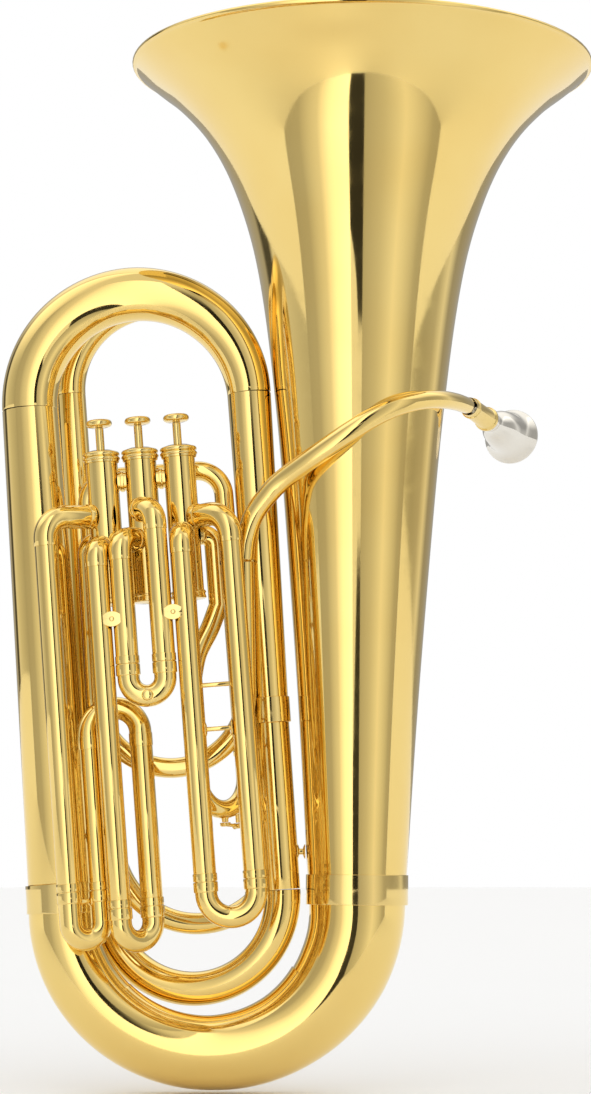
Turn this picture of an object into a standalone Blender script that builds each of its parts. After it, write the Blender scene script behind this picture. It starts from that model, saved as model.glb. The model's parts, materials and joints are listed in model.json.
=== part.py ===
"""An upright tuba with three front piston valves, as separate pieces that fit one another.

Lengths are millimetres, turned into metres as each mesh is made. X runs across the tuba towards the mouthpiece,
Y away from the valves' side, and Z up. The valves, the slides and the long branches all lean by one angle, so they
are placed in slanted coordinates: across, depth and height, measured from the foot of the middle valve casing.
"""

import math

import bmesh
import bpy
from mathutils import Matrix, Vector

MM = 0.001
GAP = 0.3  # clearance between pieces that touch
ORIGIN_X = 2.1  # the frame's origin lies this far across from the sketch's
LEAN = math.radians(4.32)  # of the valves and branches
BLOCK_X, BLOCK_Z = -114.4, 386.0  # foot of the middle casing

# Bell: a nearly straight cone below, opening into the flare; (height, radius)
BELL_PROFILE = (
    (156, 38.2), (305, 47.5), (464, 60), (544, 67.8), (610, 76), (660, 85), (700, 96.5), (735, 111),
    (764, 129), (788, 151), (805, 172), (815.5, 184.6),
)
BELL_X, BELL_FOOT_Z, BELL_LEAN = 48.2, 163.0, 0.0086
BELL_WALL = 0.9
BEAD = 2.2  # radius of the rolled rim

# Bottom bow: half an ellipse under the bell and the outer branch
BOW_CENTRE_X, BOW_CENTRE_Z, BOW_HALF, BOW_DEPTH = -67.0, 143.2, 115.2, 113.0
BOW_RADII = (38.2, 35.9, 31.4, 28.5, 27.9, 27.4, 26.5)
GUARD_START, GUARD_END, GUARD_WRAP, GUARD_THICK = 37, 135, 34, 1.2

# Main branches: (across, depth, height) at their ends, and tube radii
OUTER_ACROSS, RETURN_TOP_ACROSS, RETURN_FOOT_ACROSS = -85.5, 89.4, 86.5
TOP_BOW_H, TOP_BOW_RADII = 157.0, (22.4, 22.2, 21.6, 20.2, 17.4)
INNER_ACROSS, INNER_TOP_DEPTH, INNER_FOOT_DEPTH = -54.6, 36.0, 27.0
INNER_TOP_H, INNER_TOP_ACROSS = 173.0, 84.0
INNER_BOW_H = -237.0
RETURN_STEP_H = -95.0  # where the return branch steps down to its lower tube
SMALL_BOW_H, SMALL_BOW_LEFT, SMALL_BOW_RIGHT = -192.0, -43.0, 88.0
INLET_BOW_H, INLET_LEFT, INLET_RIGHT = -77.0, -47.9, 70.4

# Valves
VALVE_PITCH, VALVE_DEPTH = 30.5, -22.0
CASING_R, CASING_BORE, CASING_FOOT, CASING_TOP = 12.5, 11.3, -4.0, 113.4
PISTON_R, PISTON_FOOT, PISTON_TOP = CASING_BORE - GAP, 28.0, 104.0
STEM_R, STEM_TOP, BUTTON_R, BUTTON_FOOT = 3.15, 134.5, 10.25, 134.8
CAP_R, CAP_FOOT, CAP_TOP = 14.75, 106.6, 117.0
KNUCKLE_H, KNUCKLE_R = 91.0, 7.4
SPRING_R, SPRING_WIRE, SPRING_TURNS = 8.0, 0.8, 4

# Valve slides: fixed outer legs and the crooks that pull out of them
SLIDE_DEPTH = -50.0
LEG_R, LEG_WALL, INNER_LEG_R, CROOK_R = 8.9, 0.4, 8.2, 8.6
LINK_DEPTH, RETURN_DEPTH = -38.0, -32.0  # of the legs joined by the third slide's link
LINK_TOP_H, LINK_BULGE = -107.0, 6.0
SLIDE_ACROSS = {"a": -76.5, "b": -54.0, "c": -38.3, "d": -14.2, "e": 28.4, "f": 66.8, "g": -19.4, "h": 9.0}
TUBE_WALL = 0.6
VALVE_SIDES = 12
SMALL_SIDES, MIDDLE_SIDES, LARGE_SIDES, BELL_SIDES = 8, 9, 12, 24  # facets round a tube, by its size
TUNING_R, TUNING_INNER_R = 7.6, 6.9
TUNING_LEFT, TUNING_RIGHT = (28.2, -31.0), (64.0, 2.0)  # (across, depth) of the tuning slide's legs
TUNING_FOOT_H, TUNING_CROOK_H = -124.0, -147.0

GOLD = (0.83, 0.58, 0.16)
PALE_GOLD = (0.88, 0.70, 0.32)
SILVER = (0.85, 0.84, 0.80)
STEEL = (0.62, 0.62, 0.60)

ACROSS = Vector((math.cos(LEAN), 0, math.sin(LEAN)))
ALONG = Vector((-math.sin(LEAN), 0, math.cos(LEAN)))
DEPTH = Vector((0, 1, 0))


def slant(across, depth, height):
    return Vector((BLOCK_X, 0, BLOCK_Z)) + ACROSS * across + DEPTH * depth + ALONG * height


def bell_axis(z):
    return Vector((BELL_X + BELL_LEAN * (z - BELL_FOOT_Z), 0, z))


def spread(values, fraction):
    """The value at a fraction of the way along an evenly spaced list, between its neighbours."""
    place = fraction * (len(values) - 1)
    low = min(int(place), len(values) - 2)
    return values[low] + (values[low + 1] - values[low]) * (place - low)


def quarter_turn(centre, start, end, steps=4):
    """Points from centre + start round to centre + end."""
    turns = [math.pi / 2 * i / steps for i in range(steps + 1)]
    return [centre + start * math.cos(t) + end * math.sin(t) for t in turns]


def half_turn(first, last, dip, steps=12, bulge=None):
    """Points from first to last round a half turn that reaches dip from the middle of the two."""
    centre, arm = (first + last) / 2, (first - last) / 2
    points = []
    for i in range(steps + 1):
        t = math.pi * i / steps
        point = centre + arm * math.cos(t) + dip * math.sin(t)
        points.append(point if bulge is None else point + bulge * math.sin(t))
    return points


def smooth_path(knots, per_span=3):
    """A Catmull-Rom curve through the knots."""
    ends = [knots[0] * 2 - knots[1], *knots, knots[-1] * 2 - knots[-2]]
    points = []
    for p0, p1, p2, p3 in zip(ends, ends[1:], ends[2:], ends[3:]):
        for i in range(per_span):
            t = i / per_span
            points.append(
                (p1 * 2 + (p2 - p0) * t + (p0 * 2 - p1 * 5 + p2 * 4 - p3) * t**2
                 + (p1 * 3 - p0 - p2 * 3 + p3) * t**3) / 2
            )
    return [*points, knots[-1]]


def finish(name, bm, colour, roughness=0.18, helper=False):
    """One object from a bmesh in millimetres, its normals out and its own material on it."""
    bmesh.ops.translate(bm, vec=(-ORIGIN_X, 0, 0), verts=bm.verts)
    bmesh.ops.scale(bm, vec=(MM, MM, MM), verts=bm.verts)
    bmesh.ops.recalc_face_normals(bm, faces=bm.faces)
    mesh = bpy.data.meshes.new(name)
    bm.to_mesh(mesh)
    bm.free()
    obj = bpy.data.objects.new(name, mesh)
    bpy.context.scene.collection.objects.link(obj)
    if helper:
        obj.hide_render = True
        obj.display_type = "WIRE"
        return obj
    mesh.shade_smooth()
    mesh.set_sharp_from_angle(angle=math.radians(40))
    material = bpy.data.materials.new(name)
    material.use_nodes = True
    shader = material.node_tree.nodes["Principled BSDF"]
    shader.inputs["Base Color"].default_value = (*colour, 1)
    shader.inputs["Metallic"].default_value = 1.0
    shader.inputs["Roughness"].default_value = roughness
    mesh.materials.append(material)
    return obj


def end_tangent(points):
    """The direction in which a path leaves its first point: along a long first run, or along its curve."""
    run = points[1] - points[0]
    if len(points) < 3 or run.length > 2 * (points[2] - points[1]).length:
        return run.normalized()
    first, second = run.normalized(), (points[2] - points[1]).normalized()
    share = run.length / (points[2] - points[0]).length
    return (first + (first - second) * share).normalized()


def frames(points):
    """(tangent, side, up) at each point, from the depth axis or, where a path runs along it, without twist."""
    inner = [(b - a).normalized() for a, b in zip(points, points[2:])]
    tangents = [end_tangent(points[:3]), *inner, -end_tangent(points[:-4:-1])]
    steady = max(abs(tangent.dot(DEPTH)) for tangent in tangents) < 0.9
    reference = ACROSS if abs(tangents[0].dot(DEPTH)) > 0.95 else DEPTH
    side = reference
    found = []
    for tangent in tangents:
        side = DEPTH if steady else side
        side = (side - tangent * side.dot(tangent)).normalized()
        found.append((tangent, side, tangent.cross(side)))
    return found


def lengths(points):
    run = [0.0]
    for a, b in zip(points, points[1:]):
        run.append(run[-1] + (b - a).length)
    return [value / run[-1] for value in run]


def ring(bm, centre, frame, radius, sides):
    _, side, up = frame
    turns = [2 * math.pi * (k + 0.5) / sides for k in range(sides)]
    return [bm.verts.new(centre + side * (radius * math.cos(t)) + up * (radius * math.sin(t))) for t in turns]


def skin(bm, first, second):
    for k in range(len(first)):
        m = (k + 1) % len(first)
        bm.faces.new((first[k], first[m], second[m], second[k]))


def tube(name, points, radii, wall=TUBE_WALL, sides=SMALL_SIDES, colour=GOLD, bore=None, helper=False):
    """An open tube. Radii are one for each point, or a few spread evenly along it; a wall of None makes it solid."""
    radii = radii if isinstance(radii, (tuple, list)) else (radii, radii)
    if len(radii) != len(points):
        radii = [spread(radii, share) for share in lengths(points)]
    bm = bmesh.new()
    outer, inner = [], []
    for point, frame, radius in zip(points, frames(points), radii):
        outer.append(ring(bm, point, frame, radius, sides))
        if wall is not None:
            inner.append(ring(bm, point, frame, bore or radius - wall, sides))
    for rings in (outer, inner):
        for first, second in zip(rings, rings[1:]):
            skin(bm, first, second)
    if wall is None:
        bm.faces.new(outer[0])
        bm.faces.new(outer[-1])
    else:
        skin(bm, outer[0], inner[0])
        skin(bm, outer[-1], inner[-1])
    return finish(name, bm, colour, helper=helper)


def turned(name, profile, base, axis, sides=16, colour=GOLD, helper=False, roughness=0.18):
    """A shape turned about an axis from (radius, height) points; a radius of 0 closes it on the axis."""
    axis = axis.normalized()
    side = (DEPTH - axis * DEPTH.dot(axis))
    side = side.normalized() if side.length > 0.05 else Vector((1, 0, 0))
    frame = (axis, side, axis.cross(side))
    bm = bmesh.new()
    rings = [
        ring(bm, base + axis * height, frame, radius, sides) if radius else [bm.verts.new(base + axis * height)]
        for radius, height in profile
    ]
    closed = profile[0][0] and profile[-1][0]
    pairs = list(zip(rings, rings[1:])) + ([(rings[-1], rings[0])] if closed else [])
    for first, second in pairs:
        if len(first) == len(second) > 1:
            skin(bm, first, second)
        else:
            tip, edge = (first[0], second) if len(first) == 1 else (second[0], first)
            for k in range(sides):
                bm.faces.new((tip, edge[k], edge[(k + 1) % sides]))
    return finish(name, bm, colour, helper=helper, roughness=roughness)


def boolean(obj, other, operation):
    modifier = obj.modifiers.new(f"{operation.lower()} {other.name}", "BOOLEAN")
    modifier.operation = operation
    modifier.object = other
    modifier.solver = "EXACT"


def rod(name, start, end, radius, sides=8, **kwargs):
    return tube(name, [start, end], radius, wall=None, sides=sides, **kwargs)


def trim(obj, *clear):
    """Cuts a piece back by the gap from each (start, end, radius) rod beside it."""
    for number, (start, end, radius, sides) in enumerate(clear):
        cutter = rod(f"{obj.name}_clear_{number}", start, end, radius + GAP, sides, helper=True)
        boolean(obj, cutter, "DIFFERENCE")


def pivot(name, point, *pieces):
    """An empty on a joint's axis that carries its moving pieces."""
    place = (point - Vector((ORIGIN_X, 0, 0))) * MM
    empty = bpy.data.objects.new(name, None)
    empty.empty_display_size = 0.02
    empty.location = place
    bpy.context.scene.collection.objects.link(empty)
    for piece in pieces:
        piece.parent = empty
        piece.matrix_parent_inverse = Matrix.Translation(-place)


# ------------------------------------------------------------------ main body

def make_bell():
    knots = [Vector((radius, 0, z)) for z, radius in BELL_PROFILE]
    outline = [knots[0], *smooth_path(knots, 1)[1:]]
    outer = [(p.x, p.z) for p in outline]
    rim_z = outer[-1][1]
    rim_r = outer[-1][0]
    bead = [
        (rim_r - BEAD * 0.6 + BEAD * math.sin(math.radians(t)), rim_z - BEAD * math.cos(math.radians(t)) + 0.6)
        for t in (60, 100, 140, 180)
    ]
    inner_rim = [(rim_r - BEAD * 0.6 - 1.6, rim_z + BEAD + 0.6)]
    inner = [(r - BELL_WALL, z) for r, z in reversed(outer[:-1])]
    profile = [(r, z) for r, z in outer[:-1]] + bead + inner_rim + inner
    foot = bell_axis(0)
    turned("bell", profile, foot, bell_axis(800) - foot, sides=BELL_SIDES)


def bow_point(degrees):
    t = math.radians(degrees)
    return Vector((BOW_CENTRE_X + BOW_HALF * math.cos(t), 0, BOW_CENTRE_Z - BOW_DEPTH * math.sin(t)))


def make_bottom_bow():
    right_stub = [Vector((BOW_CENTRE_X + BOW_HALF, 0, z)) for z in (155.6, 149.4)]
    left_stub = [Vector((BOW_CENTRE_X - BOW_HALF, 0, z)) for z in (146, 148.8)]
    points = right_stub + [bow_point(180 * i / 14) for i in range(15)] + left_stub
    tube("bottom_bow", points, BOW_RADII, wall=0.8, sides=LARGE_SIDES)


def make_bottom_guard():
    """A strip bent round the outside of the bow, where it would scrape the floor."""
    steps, across = 12, 6
    degrees = [GUARD_START + (GUARD_END - GUARD_START) * i / steps for i in range(steps + 1)]
    bm = bmesh.new()
    rows = []
    for degree in degrees:
        centre = bow_point(degree)
        tangent = (bow_point(degree + 0.5) - bow_point(degree - 0.5)).normalized()
        outward = DEPTH.cross(tangent).normalized()
        if outward.dot(centre - Vector((BOW_CENTRE_X, 0, BOW_CENTRE_Z))) < 0:
            outward = -outward
        radius = spread(BOW_RADII, degree / 180) + 0.5
        angles = [math.radians(-GUARD_WRAP + 2 * GUARD_WRAP * k / across) for k in range(across + 1)]
        around = [outward * math.cos(a) + DEPTH * math.sin(a) for a in angles]
        outer = [bm.verts.new(centre + d * (radius + GUARD_THICK)) for d in around]
        inner = [bm.verts.new(centre + d * radius) for d in reversed(around)]
        rows.append(outer + inner)
    for first, second in zip(rows, rows[1:]):
        skin(bm, first, second)
    for row in (rows[0], rows[-1]):
        for k in range(across):
            bm.faces.new((row[k], row[k + 1], row[-k - 2], row[-k - 1]))
    finish("bottom_guard", bm, GOLD)


def ferrule(name, points, radius, clearance=GAP, sides=MIDDLE_SIDES):
    """A sleeve over the joint of two tubes."""
    radii = [value + clearance + 1.0 for value in (radius if isinstance(radius, tuple) else (radius, radius))]
    tube(name, points, radii, wall=1.0, sides=sides, colour=PALE_GOLD)


def make_branches():
    foot = Vector((BOW_CENTRE_X - BOW_HALF - 0.2, 0, 151.4))
    top = slant(OUTER_ACROSS, 0, TOP_BOW_H - 0.4)
    tube("outer_branch", [foot, top], (26.4, 22.4), wall=0.8, sides=LARGE_SIDES)
    left, right = slant(OUTER_ACROSS, 0, TOP_BOW_H), slant(RETURN_TOP_ACROSS, 0, TOP_BOW_H)
    reach = ALONG * ((right - left).length / 2)
    tube("top_bow", half_turn(left, right, reach, 12), TOP_BOW_RADII, wall=0.8, sides=LARGE_SIDES)
    start, foot = slant(RETURN_TOP_ACROSS, 0, TOP_BOW_H - 0.4), slant(RETURN_FOOT_ACROSS, 0, INNER_BOW_H)
    step = start + (foot - start) * ((TOP_BOW_H - RETURN_STEP_H) / (TOP_BOW_H - INNER_BOW_H))
    down = (foot - start).normalized()
    tube("return_branch", [start, step - down * 0.3], (17.4, 14.5), wall=0.7, sides=MIDDLE_SIDES)
    tube("lower_return_branch", [step + down * 0.3, foot - down * 0.4], (14.2, 14.2), wall=0.7, sides=MIDDLE_SIDES)
    ferrule("return_ferrule", [step - down * 9, step + down * 11], (14.6, 14.6), 0.5)
    foot_left = slant(INNER_ACROSS, INNER_FOOT_DEPTH, INNER_BOW_H)
    dip = ALONG * (-(foot - foot_left).length / 2)
    tube("inner_bottom_bow", half_turn(foot, foot_left, dip, 12), (14.2, 13.4, 12.6), wall=0.7, sides=MIDDLE_SIDES)
    head = slant(INNER_ACROSS, INNER_TOP_DEPTH, INNER_TOP_H)
    rise = (head - foot_left).normalized()
    tube("inner_branch", [foot_left + rise * 0.4, head - rise * 0.4], (12.5, 11.6), wall=0.7, sides=MIDDLE_SIDES)
    head_right = slant(INNER_TOP_ACROSS, INNER_TOP_DEPTH, INNER_TOP_H)
    reach = ALONG * ((head_right - head).length / 2)
    tube("inner_top_bow", half_turn(head, head_right, reach, 12), (11.6, 11.3), wall=0.7, sides=MIDDLE_SIDES)
    small_right = slant(SMALL_BOW_RIGHT, 30, SMALL_BOW_H)
    fall = (small_right - head_right).normalized()
    tube("inner_return_branch", [head_right + fall * 0.4, small_right - fall * 0.4], (11.3, 8.5))
    small_left = slant(SMALL_BOW_LEFT, 6, SMALL_BOW_H)
    dip = ALONG * (-(small_right - small_left).length / 2)
    leg_top = slant(-45.3, 11.5, 34)
    tube("small_bottom_bow", half_turn(small_right, small_left, dip, 12) + [leg_top], (8.5, 8.2))


def make_main_ferrules():
    ferrule("bell_ferrule", [bell_axis(144.5), bell_axis(168)], (38.6, 38.6), 0.7, sides=BELL_SIDES)
    x = BOW_CENTRE_X - BOW_HALF
    ferrule("bottom_bow_ferrule", [Vector((x, 0, 138)), Vector((x - 0.3, 0, 146)), Vector((x - 1.4, 0, 161))],
            (26.6, 26.6), 0.9, sides=LARGE_SIDES)


# ------------------------------------------------------------------ valves

def casing_axis(number, height):
    return slant((number - 2) * VALVE_PITCH, VALVE_DEPTH, height)


def casing_rod(number):
    return (casing_axis(number, -20), casing_axis(number, 130), CASING_R, VALVE_SIDES)


def make_valve(number, ports):
    """Casing, caps, piston, button and spring; number 1 is the casing on the -X side."""
    foot = casing_axis(number, 0)
    casing = turned(
        f"valve_casing_{number}",
        [(CASING_R, CASING_FOOT), (CASING_R, CASING_TOP), (CASING_BORE, CASING_TOP), (CASING_BORE, CASING_FOOT)],
        foot, ALONG, sides=VALVE_SIDES,
    )
    for index, (start, end, radius) in enumerate(ports):
        cutter = rod(f"port_{number}_{index}", start, end, radius, 8, helper=True)
        boolean(casing, cutter, "DIFFERENCE")
    turned(
        f"valve_top_cap_{number}",
        [
            (CASING_R + GAP, CAP_FOOT), (CAP_R - 0.8, CAP_FOOT), (CAP_R, CAP_FOOT + 1.2), (CAP_R, CAP_TOP - 4.0),
            (CAP_R - 1.6, CAP_TOP - 1.4), (CAP_R - 6, CAP_TOP - 0.2), (STEM_R + 0.45, CAP_TOP),
            (STEM_R + 0.45, CASING_TOP + 0.6), (CASING_R + GAP, CASING_TOP + 0.6),
        ],
        foot, ALONG, sides=VALVE_SIDES, colour=PALE_GOLD,
    )
    turned(
        f"valve_bottom_cap_{number}",
        [
            (CASING_R + GAP, 0.6), (13.7, 0.2), (13.9, -4.6), (12.6, -6.6), (2.0, -6.6), (2.0, -5.0),
            (CASING_R + GAP, -5.0),
        ],
        foot, ALONG, sides=VALVE_SIDES, colour=PALE_GOLD,
    )
    piston = turned(
        f"valve_piston_{number}",
        [
            (0, PISTON_FOOT), (PISTON_R, PISTON_FOOT), (PISTON_R, PISTON_TOP), (PISTON_R - 2, PISTON_TOP + 1.5),
            (STEM_R, PISTON_TOP + 1.5), (STEM_R, STEM_TOP), (0, STEM_TOP),
        ],
        foot, ALONG, sides=VALVE_SIDES, colour=STEEL,
    )
    bore = PISTON_R + 3
    passages = (
        [(-bore, 0, KNUCKLE_H), (bore, 0, KNUCKLE_H)],
        [(-bore, 1, 74), (-5, -2, 70), (-1.5, -6, 64), (-1, -bore, 60)],
        [(bore, 1, 46), (5, -2, 45), (1.5, -6, 42), (1, -bore, 40)],
    )
    for index, knots in enumerate(passages):
        points = [foot + ACROSS * a + DEPTH * d + ALONG * h for a, d, h in knots]
        path = points if len(points) == 2 else smooth_path(points, 2)
        cutter = tube(f"passage_{number}_{index}", path, 5.0, wall=None, sides=6, helper=True)
        boolean(piston, cutter, "DIFFERENCE")
    button = turned(
        f"finger_button_{number}",
        [
            (0, BUTTON_FOOT), (4.2, BUTTON_FOOT), (BUTTON_R - 2.4, BUTTON_FOOT + 0.3), (BUTTON_R - 0.5, BUTTON_FOOT + 1.6),
            (BUTTON_R, BUTTON_FOOT + 3.2), (BUTTON_R - 0.6, BUTTON_FOOT + 5), (BUTTON_R - 2.2, BUTTON_FOOT + 6.2),
            (BUTTON_R - 3.6, BUTTON_FOOT + 6.3), (0, BUTTON_FOOT + 5.6),
        ],
        foot, ALONG, sides=VALVE_SIDES, colour=PALE_GOLD,
    )
    low, high = CASING_FOOT + 0.2, PISTON_FOOT - SPRING_WIRE - GAP
    steps = int(SPRING_TURNS * 7)
    helix = []
    for i in range(steps + 1):
        turn = 2 * math.pi * SPRING_TURNS * i / steps
        height = low + (high - low) * i / steps
        helix.append(
            foot + ACROSS * (SPRING_R * math.cos(turn)) + DEPTH * (SPRING_R * math.sin(turn)) + ALONG * height
        )
    tube(f"valve_spring_{number}", helix, SPRING_WIRE, wall=None, sides=4, colour=STEEL)
    pivot(f"valve_{number}_travel", casing_axis(number, PISTON_TOP), piston, button)


def make_knuckle(number):
    """The short tube that carries the air from one casing to the next."""
    start, end = casing_axis(number, KNUCKLE_H), casing_axis(number + 1, KNUCKLE_H)
    knuckle = tube(f"valve_knuckle_{number}", [start + ACROSS * 8, end - ACROSS * 8], KNUCKLE_R, wall=1.0, sides=10)
    trim(knuckle, casing_rod(number), casing_rod(number + 1))


# ------------------------------------------------------------------ slides

def leg_point(letter, height, depth=SLIDE_DEPTH):
    return slant(SLIDE_ACROSS[letter], depth, height)


def leg_into_casing(name, letter, casing, foot_h, port_h, bend, heading=None):
    """A fixed leg that runs up, turns through a right angle and meets a casing. Returns the tube and its last run."""
    corner = leg_point(letter, port_h)
    axis = casing_axis(casing, port_h)
    heading = (heading if heading else axis - corner).normalized()
    reach = (axis - corner).dot(heading)
    centre = corner + heading * bend - ALONG * bend
    turn = quarter_turn(centre, -heading * bend, ALONG * bend)
    last = corner + heading * (reach - 6)
    leg = tube(name, [leg_point(letter, foot_h), *turn, last], LEG_R, wall=LEG_WALL)
    trim(leg, casing_rod(casing))
    return leg, (corner + heading * (reach - 20), last, LEG_R - 2.6)


def crook(name, first, last, top, foot, bend_h, radius=CROOK_R, inner=INNER_LEG_R, band=9):
    """A U that slides: inner legs that fit the fixed ones, a band round each below them, and the bend.

    first and last are the (across, depth) of its legs; heights run along the slant."""
    steps = (
        (top, inner), (foot - 0.3, inner), (foot - 0.7, radius + 0.9), (foot - band, radius + 0.9),
        (foot - band - 0.4, radius),
    )
    down = [slant(*first, height) for height, _ in steps]
    up = [slant(*last, height) for height, _ in reversed(steps)]
    start, end = slant(*first, bend_h), slant(*last, bend_h)
    dip = ALONG * (-(start - end).length / 2)
    bend = half_turn(start, end, dip, 8)
    sizes = [size for _, size in steps]
    return tube(name, down + bend + up, sizes + [radius] * len(bend) + sizes[::-1], bore=inner - TUBE_WALL)


def across_depth(letter, depth=SLIDE_DEPTH):
    return SLIDE_ACROSS[letter], depth


def leg_rod(letter, depth=SLIDE_DEPTH, radius=LEG_R):
    return leg_point(letter, -300, depth), leg_point(letter, 60, depth), radius, SMALL_SIDES


def brace(obj, name, start, end, radius, *clear, plate=None):
    """Joins a round bar to obj, with a flange at its far end, cut back from the pieces it only comes near."""
    bar = rod(f"{name}_bar", start, end, radius, helper=True)
    if plate:
        flange = tube(f"{name}_flange", [end - (end - start).normalized() * plate[1], end], plate[0], wall=None,
                      sides=12, helper=True)
        boolean(bar, flange, "UNION")
    trim(bar, *clear)
    boolean(obj, bar, "UNION")


def make_third_slide():
    """The longest loop, in two folds: down a, up b, over the link, down d and up c."""
    foot_ab, foot_cd = -226.0, -241.0
    _, port_a = leg_into_casing("third_slide_outer_leg", "a", 1, foot_ab, 64, 18)
    _, port_c = leg_into_casing("third_slide_return_leg", "c", 1, foot_cd, 38, 11)
    left, right = leg_point("b", LINK_TOP_H, LINK_DEPTH), leg_point("d", LINK_TOP_H, RETURN_DEPTH)
    over = half_turn(left, right, ALONG * ((right - left).length / 2), 10, bulge=DEPTH * LINK_BULGE)
    path = [leg_point("b", foot_ab, LINK_DEPTH), *over, leg_point("d", foot_cd, RETURN_DEPTH)]
    tube("third_slide_link", path, LEG_R - 0.2, bore=LEG_R - LEG_WALL)
    first = crook("third_slide_outer_crook", across_depth("a"), across_depth("b", LINK_DEPTH), -120, foot_ab, -250.5)
    second = crook(
        "third_slide_inner_crook", across_depth("c"), across_depth("d", RETURN_DEPTH), -150, foot_cd, -252.6,
    )
    low, high = leg_point("a", -234), leg_point("b", -234, LINK_DEPTH)
    brace(first, "outer_crook_pull", low, high, 2.0)
    pivot("third_slide_outer_travel", leg_point("a", foot_ab), first)
    pivot("third_slide_inner_travel", leg_point("c", foot_cd), second)
    return [port_a, port_c]


def make_first_slide():
    foot = -226.0
    leg_e, port_e = leg_into_casing("first_slide_inner_leg", "e", 3, foot, 44, 11)
    leg_f, port_f = leg_into_casing("first_slide_outer_leg", "f", 3, foot, 58, 19)
    for number, height in enumerate((-76, -110)):
        start, end = leg_point("e", height) + ACROSS * 5, leg_point("f", height)
        brace(leg_e, f"first_slide_brace_{number}", start, end, 2.0, leg_rod("f"))
    low_crook = crook("first_slide_crook", across_depth("e"), across_depth("f"), -130, foot, -235.2)
    pivot("first_slide_travel", leg_point("e", foot), low_crook)
    return [port_e, port_f]


def make_second_slide():
    foot = -55.0
    _, port_g = leg_into_casing("second_slide_left_leg", "g", 2, foot, 43, 12)
    heading = ACROSS * -0.6 + DEPTH * 0.8
    _, port_h = leg_into_casing("second_slide_right_leg", "h", 2, foot, 66, 13, heading)
    low_crook = crook("second_slide_crook", across_depth("g"), across_depth("h"), -5, foot, -66.6)
    low = slant(-5.2, SLIDE_DEPTH, -80.8)
    knob = turned(
        "second_slide_knob",
        [(0, 5), (2.2, 5), (2.2, 10), (4.2, 10.6), (4.6, 12), (3.8, 13.6), (0, 14)],
        low, -DEPTH, sides=10, helper=True,
    )
    boolean(low_crook, knob, "UNION")
    pivot("second_slide_travel", leg_point("g", foot), low_crook)
    return [port_g, port_h]


def make_tuning_slide():
    """From casing 3 down the inlet leg, round the water-key crook and up the crossover behind the casings."""
    port_h = 45
    axis = casing_axis(3, port_h)
    leg_top = slant(53, -16, port_h)
    out = (leg_top - axis).normalized()
    bend = 9.4
    centre = leg_top - out * bend - ALONG * bend
    turn = quarter_turn(centre, ALONG * bend, out * bend, 5)
    jog = smooth_path([slant(53, -16, -12), slant(45, -20, -30), slant(34, -27.5, -50), slant(28.2, -31, -72)], 3)
    path = [slant(*TUNING_LEFT, TUNING_FOOT_H), *jog[::-1], *turn[::-1], axis + out * 6]
    inlet = tube("tuning_inlet_leg", path, TUNING_R, wall=LEG_WALL)
    trim(inlet, casing_rod(3))
    ports = [(axis + out * 20, axis + out * 6, TUNING_R - 2)]
    bend = 21
    right_top, left_top = slant(63.5, -3, 98), slant(-45.3, 2, 98)
    up = smooth_path([slant(*TUNING_RIGHT, -60), slant(63.8, 0, 10), slant(63.5, -3, 98 - bend)], 3)
    toward = (left_top - right_top).normalized()
    over = quarter_turn(right_top + toward * bend - ALONG * bend, -toward * bend, ALONG * bend)[1:]
    down = quarter_turn(left_top - toward * bend - ALONG * bend, ALONG * bend, toward * bend)
    tail = smooth_path([slant(-45.3, 2, 76), slant(-45.3, 9.5, 56), slant(-45.3, 11.5, 34.8)], 3)
    path = [slant(*TUNING_RIGHT, TUNING_FOOT_H), *up, *over, *down, *tail[1:]]
    tube("crossover_tube", path, TUNING_R, wall=LEG_WALL)
    slide = crook(
        "main_tuning_slide", TUNING_LEFT, TUNING_RIGHT, -75, TUNING_FOOT_H, TUNING_CROOK_H, radius=7.2,
        inner=TUNING_INNER_R, band=6,
    )
    left, right = slant(*TUNING_LEFT, TUNING_CROOK_H), slant(*TUNING_RIGHT, TUNING_CROOK_H)
    sideways = (right - left).normalized()
    low = (left + right) / 2 - ALONG * ((right - left).length / 2)
    nipple = tube("water_nipple", [low - ALONG * 3, low - ALONG * 10], 2.6, wall=None, sides=10, helper=True)
    boolean(slide, nipple, "UNION")
    post = low + sideways * 13 - ALONG * 3
    ear = rod("water_key_post", post + ALONG * 6, post - ALONG * 8, 1.6, helper=True)
    boolean(slide, ear, "UNION")
    drain = rod("water_drain", low, low - ALONG * 12, 1.6, helper=True)
    boolean(slide, drain, "DIFFERENCE")
    make_water_key(low, sideways, post - ALONG * 10.5)
    return ports


def make_water_key(low, sideways, hinge):
    """A lever on the tuning crook: a cork cup under the nipple, a pivot barrel, and a thumb plate."""
    cup_top = low - ALONG * (10 + GAP)
    key = tube("water_key", [cup_top, cup_top - ALONG * 3.2], 4.2, wall=None, colour=PALE_GOLD)
    across = sideways.cross(ALONG).normalized()
    arm = rod("water_key_arm", cup_top - ALONG * 1.8, hinge + sideways * 3, 1.5, helper=True)
    barrel = rod("water_key_barrel", hinge - across * 4, hinge + across * 4, 2.1, 10, helper=True)
    tail = rod("water_key_tail", hinge, hinge + sideways * 11 - ALONG * 4, 1.4, helper=True)
    thumb = tube(
        "water_key_thumb",
        [hinge + sideways * 11 - ALONG * 3.2, hinge + sideways * 11 - ALONG * 4.8], 3.8, wall=None, helper=True,
    )
    for piece in (arm, barrel, tail, thumb):
        boolean(key, piece, "UNION")
    pivot("water_key_hinge", hinge, key)


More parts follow.
